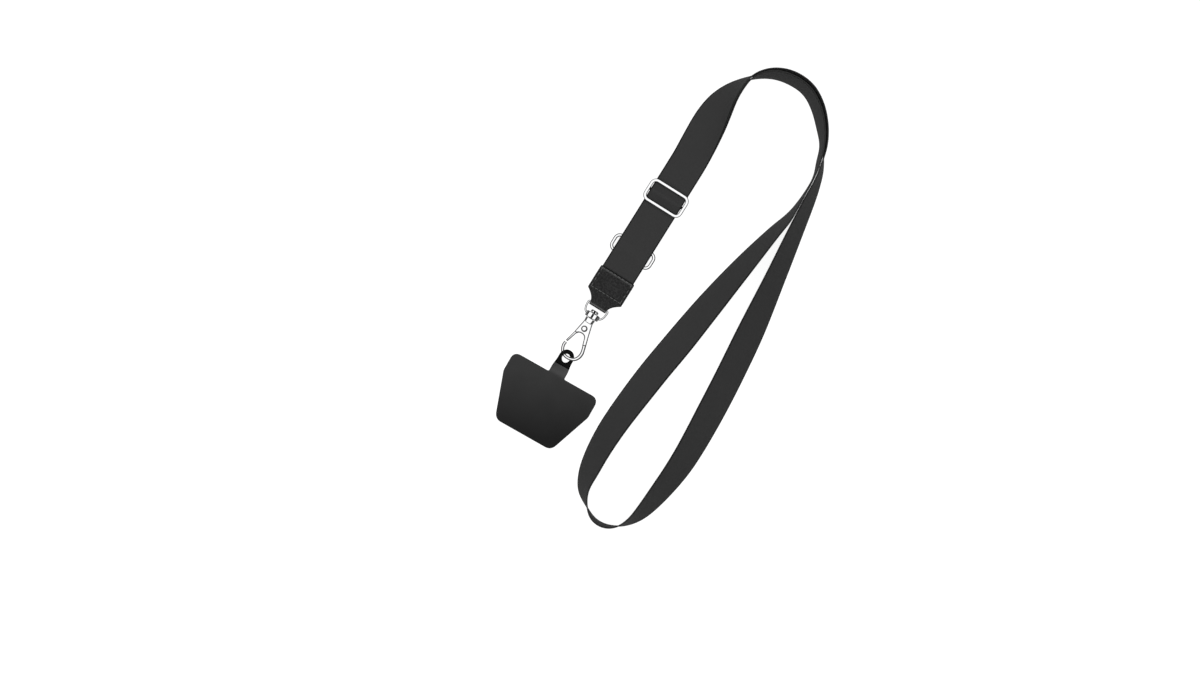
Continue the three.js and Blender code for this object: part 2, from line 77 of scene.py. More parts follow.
def new_material(name, settings):
    material = bpy.data.materials.new(name)
    material.use_nodes = True
    shader = material.node_tree.nodes["Principled BSDF"]
    for socket, value in settings.items():
        shader.inputs[socket].default_value = value
    return material, material.node_tree, shader


def new_object(name, mesh, material=None):
    item = bpy.data.objects.new(name, mesh)
    bpy.context.scene.collection.objects.link(item)
    if material:
        mesh.materials.clear()
        mesh.materials.append(material)
    return item


def ramp(tree, value, low, high, start=0.0, end=1.0, curve="SMOOTHSTEP"):
    inputs = {"Value": value, "From Min": low, "From Max": high, "To Min": start, "To Max": end}
    return add_node(tree, "ShaderNodeMapRange", inputs, interpolation_type=curve).outputs["Result"]


def noise(tree, place, scale, detail=3.0):
    inputs = {"Vector": place, "Scale": scale, "Detail": detail}
    return add_node(tree, "ShaderNodeTexNoise", inputs).outputs["Fac"]


def mix(tree, share, first, second):
    """A mix of two colours: the node's colour sockets are its inputs 6 and 7 and its output 2"""
    inputs = {0: share, 6: first, 7: second}
    return add_node(tree, "ShaderNodeMix", inputs, data_type="RGBA").outputs[2]


def maths(tree, operation, *values):
    return add_node(tree, "ShaderNodeMath", dict(enumerate(values)), operation=operation).outputs[0]


def own_place(tree):
    return add_node(tree, "ShaderNodeTexCoord").outputs["Object"]


def grey(level, warm=0.0):
    return (level * (1 + warm), level, level * (1 - warm), 1)


table_settings = {
    "Roughness": 0.7,
    "Specular IOR Level": 0.2,
    "Emission Color": grey(1),
    "Emission Strength": table_glow,
}
table_top, tree, shader = new_material("table_top", table_settings)
place = own_place(tree)
tint = mix(tree, noise(tree, place, 3), grey(0.24), grey(0.26))
tree.links.new(tint, shader.inputs["Base Color"])
flat = bpy.data.meshes.new("table")
edge = table_width / 2
corners = [(-edge, -edge, 0), (edge, -edge, 0), (edge, edge, 0), (-edge, edge, 0)]
flat.from_pydata(corners, [], [(0, 1, 2, 3)])
table = new_object("table", flat, table_top)
table.visible_glossy = False

world = bpy.data.worlds.new("studio")
world.use_nodes = True
bpy.context.scene.world = world
tree = world.node_tree
direction = add_node(tree, "ShaderNodeTexCoord").outputs["Generated"]
facing = add_node(tree, "ShaderNodeVectorMath", {0: direction, 1: light_lean}, operation="DOT_PRODUCT")
tilt = facing.outputs["Value"]
soft_glow = ramp(tree, tilt, light_cone[0], light_cone[1], room_strength, light_strength)
tight_glow = ramp(tree, tilt, mirror_cone[0], mirror_cone[1], room_strength, light_strength)
wall_glow = ramp(tree, tilt, wall_cone[0], wall_cone[1], wall_strength, 0)
metal_glow = maths(tree, "ADD", tight_glow, wall_glow)
in_metal = add_node(tree, "ShaderNodeLightPath").outputs["Is Glossy Ray"]
glow = ramp(tree, in_metal, 0, 1, soft_glow, metal_glow, "LINEAR")
tree.links.new(glow, tree.nodes["Background"].inputs["Strength"])
tree.nodes["Background"].inputs["Color"].default_value = grey(1)
bpy.context.scene.view_settings.view_transform = "Standard"

camera = bpy.data.objects.new("camera", bpy.data.cameras.new("camera"))
bpy.context.scene.collection.objects.link(camera)
camera.location = (view_middle[0], view_middle[1], camera_height)
camera.rotation_euler = (0, 0, view_turn)
camera.data.sensor_width = sensor_width
camera.data.lens = sensor_width * camera_height / view_width
camera.data.clip_end = 50
bpy.context.scene.camera = camera


# Webbing: one length of flat black polyester webbing, 25 mm wide, woven with a tight plain weave
# and a firm selvage. It leaves the leather, passes the slider, makes the loop, turns round the
# oval ring and ends in a tail sewn behind the slider's bar. A short piece keeps the ring.
web_width = 0.025
web_thick = 0.001
gap = 0.0003
layer = web_thick + gap
loop_length = 0.33
loop_width = 0.112
leaf_thick = 0.001
leather_length = 0.0263
slider_place = 0.0885
slider_wire = 0.002
slider_face = 0.0023
slider_length = 0.0172
slider_bar = 0.0018
tail_length = 0.02
ring_place = 0.0452
ring_wire = 0.0023
ring_length = 0.0135
web_step = 0.0015
web_ease = 0.003
arc_step = 0.12
corner_steps = 8
groove_inset = 0.0017
groove_deep = 0.00007
groove_reach = 0.00035

low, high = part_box("slider")
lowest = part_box("leather_end")[0].z
drawn_origin = Vector(((low.x + high.x) / 2, (low.y + high.y) / 2 - slider_place, lowest))
rail_height = 4 * layer + slider_wire / 2
bar_height = rail_height - 0.9 * (slider_wire + slider_bar) / 2
ring_height = layer + ring_wire / 2

# Where the two strands lie on each other, in rows of across, along, lean, apart and close: across
# and along are shares of the loop's width and length, lean is the webbing's turn on edge in
# degrees, apart is counted in layers, and close is how many degrees the under strand leans back
# towards the other at the twist
pair_rows = [
    (0, 0.363, 0, 1, 0),
    (-0.009, 0.406, 8, 1.3, 0),
    (-0.021, 0.455, 24, 1.5, 0),
    (-0.022, 0.496, 44, 1.6, 0),
    (-0.002, 0.537, 66, 1.4, 2),
    (0.051, 0.58, 90, 1.3, 2),
    (0.143, 0.609, 100, 1.4, 1.5),
    (0.256, 0.623, 104, 2, 0),
    (0.392, 0.621, 104, 2, 0),
    (0.503, 0.599, 104, 1.8, 0),
    (0.589, 0.569, 102, 1.6, 0),
    (0.66, 0.535, 95, 1.35, 0),
]

# The single strand on from there, down the right side, round the bottom and up the left side, in
# rows of across, along and lean
single_rows = [
    (0.717, 0.49, 82),
    (0.7355, 0.467, 79),
    (0.7525, 0.43, 72),
    (0.7866, 0.347, 63.5),
    (0.832, 0.24, 54),
    (0.885, 0.101, 40),
    (0.925, -0.039, 39),
    (0.944, -0.18, 46),
    (0.926, -0.254, 55),
    (0.896, -0.314, 67),
    (0.862, -0.345, 79),
    (0.812, -0.368, 90),
    (0.739, -0.381, 95),
    (0.657, -0.38, 95),
    (0.595, -0.366, 90),
    (0.525, -0.342, 74),
    (0.486, -0.298, 57),
    (0.467, -0.214, 46),
    (0.499, -0.069, 38),
    (0.536, 0.025, 38),
    (0.573, 0.121, 44),
    (0.625, 0.235, 57),
    (0.682, 0.339, 73),
    (0.699, 0.362, 77),
    (0.7065, 0.385, 83),
    (0.708, 0.434, 89.5),
    (0.7032, 0.47, 90),
    (0.6755, 0.502, 85),
]


def wrap(rod_width, layers=0):
    return rod_width / 2 + gap + web_thick / 2 + layers * layer


def bezier(controls, steps=16, first=1):
    """Points on the flat curve that three or four control points pull, from step first on"""
    degree = len(controls) - 1
    points = []
    for k in range(first, steps + 1):
        t = k / steps
        shares = [math.comb(degree, j) * t ** j * (1 - t) ** (degree - j) for j in range(degree + 1)]
        points.append(tuple(sum(s * c[i] for s, c in zip(shares, controls)) for i in (0, 1)))
    return points


def belt_route(stops, step, ease):
    """A route in the plane of Y and Z past stops of (y, z, bend): a bend above 0 turns left round
    a rod there, one below 0 turns right, and 0 is a plain point where the route bends softly."""
    headings = []
    for (y1, z1, bend1), (y2, z2, bend2) in zip(stops, stops[1:]):
        reach = math.hypot(y2 - y1, z2 - z1)
        headings.append(math.atan2(z2 - z1, y2 - y1) - math.asin((bend2 - bend1) / reach))
    route = []
    for k, (y, z, bend) in enumerate(stops):
        start = headings[max(k - 1, 0)]
        end = headings[min(k, len(headings) - 1)]
        turn = math.fmod(end - start, 2 * math.pi)
        if bend > 0 and turn < -1e-6:
            turn += 2 * math.pi
        if bend < 0 and turn > 1e-6:
            turn -= 2 * math.pi
        points = []
        if bend:
            arcs = max(2, math.ceil(abs(turn) / arc_step))
            for j in range(arcs + 1):
                heading = start + turn * j / arcs
                points.append((y + bend * math.sin(heading), z - bend * math.cos(heading)))
        elif 0 < k < len(stops) - 1:
            before = (y - ease * math.cos(start), z - ease * math.sin(start))
            after = (y + ease * math.cos(end), z + ease * math.sin(end))
            points = bezier((before, (y, z), after), corner_steps, 0)
        else:
            points.append((y, z))
        if route:
            last = route[-1]
            reach = [there - here for here, there in zip(last, points[0])]
            pieces = math.ceil(math.hypot(*reach) / step)
            for m in range(1, pieces):
                route.append(tuple(here + way * (m / pieces) for here, way in zip(last, reach)))
        route.extend(points)
    return route


def belt_stations(stops):
    return [(Vector((0, y, z)), Vector((1, 0, 0))) for y, z in belt_route(stops, web_step, web_ease)]


def smooth_line(points, steps_of):
    """Points on a smooth curve through the given ones, with as many steps in each span as asked"""
    line = []
    last = len(points) - 1
    for k in range(last):
        p1 = points[k]
        p2 = points[k + 1]
        p0 = points[k - 1] if k else p1 * 2 - p2
        p3 = points[k + 2] if k + 2 <= last else p2 * 2 - p1
        d0 = math.sqrt((p1 - p0).length)
        d1 = math.sqrt((p2 - p1).length)
        d2 = math.sqrt((p3 - p2).length)
        pull1 = ((p1 - p0) / d0 - (p2 - p0) / (d0 + d1) + (p2 - p1) / d1) * d1
        pull2 = ((p2 - p1) / d1 - (p3 - p1) / (d1 + d2) + (p3 - p2) / d2) * d1
        for m in range(steps_of(k)):
            t = m / steps_of(k)
            bent = pull1 * t + (p2 * 3 - p1 * 3 - pull1 * 2 - pull2) * t * t
            line.append(p1 + bent + (p1 * 2 - p2 * 2 + pull1 + pull2) * t ** 3)
    return [*line, points[last]]


def free_stations():
    front = []
    rows = [*pair_rows, *[(*row, 0, 0) for row in single_rows]]
    rows = [(across * loop_width, along * loop_length, *turns) for across, along, *turns in rows]
    for k, (x, y, lean, apart, close) in enumerate(rows):
        before = rows[max(k - 1, 0)]
        after = rows[min(k + 1, len(rows) - 1)]
        travel = Vector((after[0] - before[0], after[1] - before[1], 0)).normalized()
        lean = math.radians(lean)
        close = math.radians(close)
        apart *= layer
        side = Vector((travel.y, -travel.x, 0)) * math.cos(lean) + Vector((0, 0, math.sin(lean)))
        stand = (web_width * math.sin(lean) + web_thick * abs(math.cos(lean))) / 2
        at = Vector((x, y, stand + max(0, math.cos(lean)) * apart))
        normal = side.cross(travel)
        rear_side = side * math.cos(close) + normal * math.sin(close)
        front.append((at, side, at - normal * apart, rear_side))
    rear = [(under, rear_side) for at, side, under, rear_side in reversed(front[:len(pair_rows)])]
    rows = [*[place[:2] for place in front], *rear]
    spans = [max(1, math.ceil((a[0] - b[0]).length / web_step)) for a, b in zip(rows, rows[1:])]
    middles = smooth_line([row[0] for row in rows], lambda k: spans[k])
    sides = smooth_line([row[1] for row in rows], lambda k: spans[k])
    return [(at, side.normalized()) for at, side in zip(middles, sides)]


def relaxed(stations, first, last, rounds):
    """The stretch from first to last with its small kinks let out"""
    stations = [(at.copy(), side.copy()) for at, side in stations]
    for turn in range(rounds):
        before = list(stations)
        for k in range(first, last):
            at = before[k][0] / 2 + (before[k - 1][0] + before[k + 1][0]) / 4
            side = before[k][1] / 2 + (before[k - 1][1] + before[k + 1][1]) / 4
            stations[k] = (at, side.normalized())
    for k in range(first, last):
        at, side = stations[k]
        depth = web_width / 2 * abs(side.z) + web_thick / 2 * math.sqrt(max(0, 1 - side.z ** 2))
        at.z = max(at.z, depth - drawn_origin.z)
    return stations


def edge_round(deep, steps=4):
    turns = [math.pi / 2 * k / steps for k in range(-steps + 1, steps)]
    return [(deep * math.cos(turn), deep * math.sin(turn)) for turn in turns]


def webbing_section():
    """Across and up, once round the section: flat faces, a fine groove inside each selvage"""
    deep = web_thick / 2
    flat = web_width / 2 - deep
    groove = web_width / 2 - groove_inset
    shares = [0, 0.2, 0.4, 0.6, 0.75, 0.82, 0.855, 0.88, 0.905, 0.93, 0.965, 1]
    across = [-s * flat for s in reversed(shares)] + [s * flat for s in shares[1:]]
    off = [(abs(a) - groove) / groove_reach for a in across]
    top = [(a, deep - groove_deep * math.exp(-share ** 2)) for a, share in zip(across, off)]
    right = [(flat + out, -up) for out, up in edge_round(deep)]
    bottom = [(a, -up) for a, up in reversed(top)]
    left = [(-flat - out, up) for out, up in edge_round(deep)]
    return [*top, *right, *bottom, *left]


def ring_of(stations, k, section):
    at, side = stations[k]
    travel = (stations[min(k + 1, len(stations) - 1)][0] - stations[max(k - 1, 0)][0]).normalized()
    side = (side - travel * travel.dot(side)).normalized()
    normal = side.cross(travel)
    return [at + side * a + normal * b for a, b in section]


def face_out(mesh):
    work = bmesh.new()
    work.from_mesh(mesh)
    bmesh.ops.recalc_face_normals(work, faces=work.faces)
    work.to_mesh(mesh)
    work.free()


def loft_mesh(name, rings, marks=None):
    """A closed skin over rings of points. Marks are (across, along) of each point, kept as a UV map."""
    count = len(rings[0])
    last = (len(rings) - 1) * count
    faces = []
    for here in range(0, last, count):
        there = here + count
        for k in range(count):
            n = (k + 1) % count
            faces.append((here + k, here + n, there + n, there + k))
    faces.append(tuple(range(count)))
    faces.append(tuple(range(last, last + count)))
    mesh = bpy.data.meshes.new(name)
    mesh.from_pydata([point + drawn_origin for ring in rings for point in ring], [], faces)
    if marks:
        layout = mesh.uv_layers.new(name="weave")
        for loop in mesh.loops:
            layout.data[loop.index].uv = marks[loop.vertex_index]
    face_out(mesh)
    mesh.shade_smooth()
    return mesh


def webbing(name, stations, material):
    section = webbing_section()
    rings = [ring_of(stations, k, section) for k in range(len(stations))]
    along = 0
    marks = []
    for k, (at, side) in enumerate(stations):
        along += (at - stations[max(k - 1, 0)][0]).length
        marks.extend((a, along) for a, up in section)
    return new_object(name, loft_mesh(name, rings, marks=marks), material)


def sine(tree, value, spacing):
    return maths(tree, "SINE", maths(tree, "MULTIPLY", value, 2 * math.pi / spacing))


def times(tree, first, second):
    return maths(tree, "MULTIPLY", first, second)


def plus(tree, first, second):
    return maths(tree, "ADD", first, second)


def surface_marks(tree):
    """The UV map of a skin, whole and in its two parts, across and along"""
    marks = add_node(tree, "ShaderNodeUVMap", uv_map="weave").outputs["UV"]
    split = add_node(tree, "ShaderNodeSeparateXYZ", {"Vector": marks}).outputs
    return marks, split["X"], split["Y"]


def add_bump(tree, shader, height, distance, strength=1.0):
    bump = add_node(tree, "ShaderNodeBump", {"Height": height, "Distance": distance, "Strength": strength})
    tree.links.new(bump.outputs["Normal"], shader.inputs["Normal"])


thread_across = 0.0009
thread_along = 0.0014
web_settings = {"Roughness": 0.8, "Specular IOR Level": 0.12, "Sheen Weight": 0.02, "Sheen Roughness": 0.45}
black_webbing, tree, shader = new_material("black_webbing", web_settings)
marks, across, along = surface_marks(tree)
from_middle = maths(tree, "ABSOLUTE", across)
weave = times(tree, sine(tree, across, thread_across), sine(tree, along, thread_along))
stretched = add_node(tree, "ShaderNodeMapping", {"Vector": marks, "Scale": (1, 0.12, 1)}).outputs["Vector"]
fibre = noise(tree, stretched, 2600, 2)
cloud = noise(tree, marks, 45, 3)
body_tone = mix(tree, cloud, grey(0.03), grey(0.034))
# The weave pattern is painted darker in its valleys: painted shade in the low spots of the weave
valley_shade_tone = mix(tree, 0.25, body_tone, grey(0.004))
woven_tone = mix(tree, ramp(tree, weave, -1, 1, 0, 1), valley_shade_tone, body_tone)
web_tone = mix(tree, times(tree, fibre, 0.3), woven_tone, grey(0.045))
# The webbing is painted darker near both edges: painted shade along the rounded edges
edge_shade_start = ramp(tree, from_middle, web_width / 2 - 0.0011, web_width / 2 - 0.0007)
edge_shade_end = ramp(tree, from_middle, web_width / 2 - 0.0003, web_width / 2, 1, 0.2)
shaded_selvage = times(tree, edge_shade_start, edge_shade_end)
tree.links.new(mix(tree, shaded_selvage, web_tone, grey(0.009)), shader.inputs["Base Color"])
tree.links.new(ramp(tree, cloud, 0.3, 0.7, 0.74, 0.86), shader.inputs["Roughness"])
add_bump(tree, shader, plus(tree, weave, times(tree, fibre, 0.6)), 0.00005, 0.7)

pair_start = pair_rows[0][1] * loop_length
sewn_start = 0.37 * leather_length
rail_reach = (slider_length - slider_face) / 2
ring_reach = (ring_length - ring_wire) / 2
in_leather = leaf_thick + gap + 2 * layer + web_thick / 2
over_ring = ring_height + wrap(ring_wire, 1)
front_strand = belt_stations([
    (sewn_start, in_leather, 0),
    (leather_length + gap, in_leather, 0),
    (ring_place - ring_reach, over_ring, 0),
    (ring_place + ring_reach, over_ring, 0),
    (slider_place - rail_reach, rail_height, wrap(slider_face)),
    (slider_place, bar_height, -wrap(slider_bar, 1)),
    (slider_place + rail_reach, rail_height, wrap(slider_face)),
    (pair_start, web_thick / 2 + layer, 0),
])
rear_strand = belt_stations([
    (pair_start, web_thick / 2, 0),
    (ring_place + ring_reach, ring_height, -wrap(ring_wire)),
    (slider_place - rail_reach, rail_height, wrap(slider_face, 1)),
    (slider_place, bar_height, -wrap(slider_bar)),
    (slider_place - rail_reach, rail_height, -wrap(slider_face, 2)),
    (slider_place - tail_length, web_thick / 2 + layer, 0),
])
loop_stations = free_stations()
calm_steps = 6
calm_rounds = 14
first = len(front_strand) - 1 - calm_steps
last = len(front_strand) - 1 + len(loop_stations) - 1 + calm_steps
whole = [*front_strand[:-1], *loop_stations, *rear_strand[1:]]
calm_stations = relaxed(whole, first, last, calm_rounds)
loop_webbing = webbing("loop_webbing", calm_stations, black_webbing)
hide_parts("strap")
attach(loop_webbing, "strap_body")

keeper_low = leaf_thick + gap + web_thick / 2
keeper_webbing = webbing("keeper_webbing", belt_stations([
    (sewn_start, keeper_low, 0),
    (leather_length, keeper_low, 0),
    (ring_place - ring_reach, ring_height, wrap(ring_wire)),
    (leather_length, keeper_low + layer, 0),
    (sewn_start, keeper_low + layer, 0),
]), black_webbing)
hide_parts("ring_keeper")
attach(keeper_webbing, "strap_body")


# Slider and oval ring: bent from steel wire with flattened faces, butt welded and chrome plated.
# The slider has a thinner round bar across its middle, welded into both sides, which the webbing
# passes over.
slider_width = 0.0304
slider_corner = 0.0036
slider_edge = 0.0006
ring_width = 0.0328
ring_corner = 0.0036
ring_edge = 0.0009
weld_width = 0.0027

chrome_settings = {"Metallic": 1.0, "Roughness": 0.08, "Base Color": grey(0.58, -0.004)}
chrome, tree, shader = new_material("chrome_plate", chrome_settings)
place = own_place(tree)
polish = noise(tree, place, 260, 4)
joint_shade = add_node(tree, "ShaderNodeAttribute", attribute_name="joint").outputs["Fac"]
plated = mix(tree, polish, grey(0.56, -0.004), grey(0.62, -0.004))
tree.links.new(ramp(tree, polish, 0.3, 0.75, 0.05, 0.13), shader.inputs["Roughness"])
# The chrome is painted near black where the joint attribute marks the seam grooves: painted shade in the
# grooves
tree.links.new(mix(tree, joint_shade, plated, grey(0.01)), shader.inputs["Base Color"])
add_bump(tree, shader, noise(tree, place, 900, 2), 0.000004, 0.5)


def new_group(name, sizes, number):
    """A node tree from a path to a shape, with those sizes, a whole number and a finish as inputs"""
    tree = bpy.data.node_groups.new(name, "GeometryNodeTree")
    kinds = {"Path": "Geometry", **{size: "Float" for size in sizes}, number: "Int", "Finish": "Material"}
    for socket, kind in kinds.items():
        tree.interface.new_socket(socket, in_out="INPUT", socket_type="NodeSocket" + kind)
    tree.interface.new_socket("Shape", in_out="OUTPUT", socket_type="NodeSocketGeometry")
    return tree, add_node(tree, "NodeGroupInput").outputs


def end_group(tree, given, shape):
    real = add_node(tree, "GeometryNodeRealizeInstances", {"Geometry": shape})
    finish = {"Geometry": real.outputs["Geometry"], "Material": given["Finish"]}
    made = add_node(tree, "GeometryNodeSetMaterial", finish)
    add_node(tree, "NodeGroupOutput", {"Shape": made.outputs["Geometry"]})
    return tree


def wire_tree():
    """Follows a path of mesh edges with wire: its width, height and rounded edges are inputs"""
    tree, given = new_group("bent_wire", ("Wire width", "Wire height", "Edge radius"), "Edge steps")
    line = add_node(tree, "GeometryNodeMeshToCurve", {"Mesh": given["Path"]})
    size = {"Width": given["Wire width"], "Height": given["Wire height"]}
    square = add_node(tree, "GeometryNodeCurvePrimitiveQuadrilateral", size)
    rounding = {"Radius": given["Edge radius"], "Count": given["Edge steps"]}
    rounding["Curve"] = square.outputs["Curve"]
    section = add_node(tree, "GeometryNodeFilletCurve", rounding, mode="POLY")
    skin = {"Curve": line.outputs["Curve"], "Profile Curve": section.outputs["Curve"], "Fill Caps": True}
    tube = add_node(tree, "GeometryNodeCurveToMesh", skin)
    return end_group(tree, given, tube.outputs["Mesh"])


def path_mesh(name, points, closed):
    count = len(points)
    mesh = bpy.data.meshes.new(name)
    edges = [(k, (k + 1) % count) for k in range(count if closed else count - 1)]
    mesh.from_pydata([Vector(point) + drawn_origin for point in points], edges, [])
    return mesh


def made_mesh(item, name):
    """The plain mesh that an object's modifiers make"""
    bpy.context.view_layer.update()
    seen = item.evaluated_get(bpy.context.evaluated_depsgraph_get())
    mesh = bpy.data.meshes.new_from_object(seen)
    mesh.name = name
    return mesh


def grown(name, tree, start_mesh, settings):
    """The plain mesh that a node tree makes from a starting mesh, with its inputs set by name"""
    item = new_object(name + "_start", start_mesh)
    modifier = item.modifiers.new("nodes", "NODES")
    modifier.node_group = tree
    for socket in tree.interface.items_tree:
        if socket.in_out == "INPUT" and socket.name in settings:
            modifier[socket.identifier] = settings[socket.name]
    mesh = made_mesh(item, name)
    bpy.data.objects.remove(item)
    face_out(mesh)
    return mesh


def arc(x, y, radius, start, end, steps=10):
    turns = [math.radians(start + (end - start) * k / steps) for k in range(steps + 1)]
    return [(x + radius * math.cos(turn), y + radius * math.sin(turn)) for turn in turns]


def rounded_box(width, length, wire, corner, middle):
    x = (width - wire) / 2 - corner
    y = (length - wire) / 2 - corner
    return [
        *arc(x, middle + y, corner, 0, 90),
        *arc(-x, middle + y, corner, 90, 180),
        *arc(-x, middle - y, corner, 180, 270),
        *arc(x, middle - y, corner, 270, 360),
    ]


def turned_mesh(name, profile, middle, axis, sides=40, squash=1.0, power=2.0):
    """A turned shape: profile is (radius, place along the axis), squash flattens it across, and a
    power above 2 makes it a little square"""
    rings = []
    for radius, place in profile:
        ring = []
        for k in range(sides):
            turn = 2 * math.pi * k / sides
            out = (math.cos(turn), math.sin(turn))
            a, b = (radius * math.copysign(abs(share) ** (2 / power), share) for share in out)
            b *= squash
            ring.append(Vector({"X": (place, a, b), "Y": (a, place, b), "Z": (a, b, place)}[axis]) + middle)
        rings.append(ring)
    return loft_mesh(name, rings)


def closed_work(work, name):
    mesh = bpy.data.meshes.new(name)
    work.to_mesh(mesh)
    work.free()
    return mesh


def rod_mesh(name, radius, low, high, middle, sides=40, squash=1.0):
    return turned_mesh(name, [(radius, low), (radius, high)], middle, "Y", sides, squash)


def both_ways(profile):
    """A turned profile and its mirror image, joined in the middle"""
    return [*[(radius, -place) for radius, place in reversed(profile)], *profile]


def joined(name, meshes):
    work = bmesh.new()
    for mesh in meshes:
        work.from_mesh(mesh)
    whole = closed_work(work, name)
    whole.shade_smooth()
    return whole


def fused(name, meshes, cuts=(), grain=0.00014, rounds=6):
    """Shapes melted into one casting: joined, cut, then remade in an even skin with soft corners"""
    item = new_object(name + "_start", joined(name, meshes))
    tools = [new_object(name + "_cut", cut) for cut in cuts]
    for tool in tools:
        cut = item.modifiers.new("cut", "BOOLEAN")
        cut.operation = "DIFFERENCE"
        cut.solver = "EXACT"
        cut.use_self = True
        cut.object = tool
    skin = item.modifiers.new("skin", "REMESH")
    skin.mode = "VOXEL"
    skin.voxel_size = grain
    soft = item.modifiers.new("soft", "SMOOTH")
    soft.factor = 0.5
    soft.iterations = rounds
    mesh = made_mesh(item, name)
    mesh.shade_smooth()
    for spare in [item, *tools]:
        bpy.data.objects.remove(spare)
    return new_object(name, mesh, chrome)


def mark_joint_shade(item, middle, half, ends):
    """Marks the skin of a narrow joint in the top face, where the chrome's colour is painted dark: painted
    shade in the groove
    """
    layout = item.data.attributes.new("joint", "FLOAT", "POINT")
    for vertex in item.data.vertices:
        x, y, z = vertex.co - drawn_origin - middle
        if abs(x) < half and ends[0] < y < ends[1] and z > 0:
            layout.data[vertex.index].value = 1


bent_wire = wire_tree()
slider_line = rounded_box(slider_width, slider_length, slider_face, slider_corner, slider_place)
slider_path = path_mesh("slider_path", [(x, y, rail_height) for x, y in slider_line], True)
wire_settings = {
    "Wire width": slider_face,
    "Wire height": slider_wire,
    "Edge radius": slider_edge,
    "Edge steps": 5,
    "Finish": chrome,
}
slider_frame = grown("slider_frame", bent_wire, slider_path, wire_settings)
bar_end = (slider_width - slider_wire) / 2
bar_profile = both_ways([
    (slider_bar * 0.5, bar_end - 0.002), (slider_bar * 0.58, bar_end - 0.0013),
    (weld_width * 0.47, bar_end - 0.0008), (weld_width * 0.5, bar_end),
])
bar_middle = Vector((0, slider_place, bar_height))
slider_rod = turned_mesh("slider_rod", bar_profile, bar_middle, "X")
wire_slider = fused("wire_slider", [slider_frame, slider_rod], grain=0.00018)
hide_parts("slider")
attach(wire_slider, "strap_body")

ring_line = rounded_box(ring_width, ring_length, ring_wire, ring_corner, ring_place)
ring_path = path_mesh("ring_path", [(x, y, ring_height) for x, y in ring_line], True)
wire_settings |= {"Wire width": ring_wire, "Wire height": ring_wire}
wire_settings |= {"Edge radius": ring_edge, "Edge steps": 8}
oval_ring = new_object("oval_ring", grown("oval_ring", bent_wire, ring_path, wire_settings), chrome)
oval_ring.data.shade_smooth()
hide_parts("adjuster_ring")
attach(oval_ring, "strap_body")


# Leather end: one piece of fine-grained black leather, folded over the swivel loop's bar, with
# the webbing's end and the keeper between its two leaves. A rectangle of black thread goes
# through all the layers, and the cut edges are painted.
leather_width = 0.0269
neck_width = 0.0132
shoulder_length = 0.0085
bar_place = 0.0008
bail_wire = 0.0014
corner_round = 0.0012
edge_radius = 0.00042
puff = 0.0002
seam_groove = 0.00013
seam_reach = 0.0004
neck_curve = 2.1
leather_step = 0.0004
leather_ease = 0.002
seam_side = 0.0117
seam_low = 0.0102
seam_high = 0.0252
stitch_spacing = 0.0031
stitch_length = 0.0026
stitch_width = 0.00062
tether_thick = 0.001
tab_width = 0.0122
tab_roll = math.radians(40)
leather_height = 2 * (leaf_thick + gap) + 3 * layer - gap
hook_height = tab_width / 2 * math.sin(tab_roll) + tether_thick / 2 * math.cos(tab_roll) + gap / 3


def leather_half(y):
    share = min(max(y / shoulder_length, 0), 1)
    half = neck_width / 2 + (leather_width - neck_width) / 2 * share ** neck_curve
    past = max(0, y - (leather_length - corner_round))
    return half - corner_round + math.sqrt(max(0, corner_round ** 2 - past ** 2))


def along_line(line, places):
    """Points of a polyline at the given distances from its start"""
    points = []
    reached = 0
    k = 0
    for place in places:
        while k < len(line) - 2 and reached + math.dist(line[k], line[k + 1]) < place:
            reached += math.dist(line[k], line[k + 1])
            k += 1
        share = (place - reached) / math.dist(line[k], line[k + 1])
        points.append(tuple(a + (b - a) * share for a, b in zip(line[k], line[k + 1])))
    return points


def leather_mesh():
    fold = bail_wire / 2 + gap + leaf_thick / 2
    route = belt_route([
        (leather_length, leather_height - leaf_thick / 2, 0),
        (shoulder_length, leather_height - leaf_thick / 2, 0),
        (bar_place, hook_height, fold),
        (shoulder_length, leaf_thick / 2, 0),
        (leather_length, leaf_thick / 2, 0),
    ], leather_step, leather_ease)
    total = sum(math.dist(a, b) for a, b in zip(route, route[1:]))
    rims = [edge_radius * share for share in (0, 0.1, 0.3, 0.6)]
    even = round((total - 2 * edge_radius) / leather_step)
    inner = [edge_radius + (total - 2 * edge_radius) * k / even for k in range(even + 1)]
    places = [*rims, *inner, *[total - rim for rim in reversed(rims)]]
    points = along_line(route, places)
    stations = [(Vector((0, y, z)), Vector((1, 0, 0))) for y, z in points]
    rings = []
    marks = []
    for k, place in enumerate(places):
        y = stations[k][0].y
        inset = max(0, edge_radius - min(place, total - place)) / edge_radius
        deep = leaf_thick / 2 - edge_radius * (1 - math.sqrt(max(0.02, 1 - inset ** 2)))
        flat = leather_half(y) - edge_radius
        across = [flat * (s / 20) for s in range(-20, 21)]
        on_top = place < total / 2 and y > shoulder_length
        outer = []
        for a in across:
            rise = 0
            if on_top:
                near_x = min(1, abs(a) / seam_side)
                near_y = min(1, abs(2 * y - seam_low - seam_high) / (seam_high - seam_low))
                rise = puff * (1 - near_x ** 6) * (1 - near_y ** 6)
                off_side = max(abs(abs(a) - seam_side), seam_low - y, y - seam_high, 0)
                off_end = max(min(abs(y - seam_low), abs(y - seam_high)), abs(a) - seam_side)
                rise -= seam_groove * math.exp(-(min(off_side, off_end) / seam_reach) ** 2)
            outer.append((a, -deep - rise))
        right = [(flat + out * deep / (leaf_thick / 2), up) for out, up in edge_round(edge_radius)]
        right = [(a, up * deep / edge_radius) for a, up in right]
        inner_face = [(a, deep) for a in reversed(across)]
        left = [(-a, -up) for a, up in right]
        section = [*outer, *right, *inner_face, *left]
        rings.append(ring_of(stations, k, section))
        marks.extend((a, place) for a, up in section)
    return loft_mesh("leather_end_patch", rings, marks=marks)


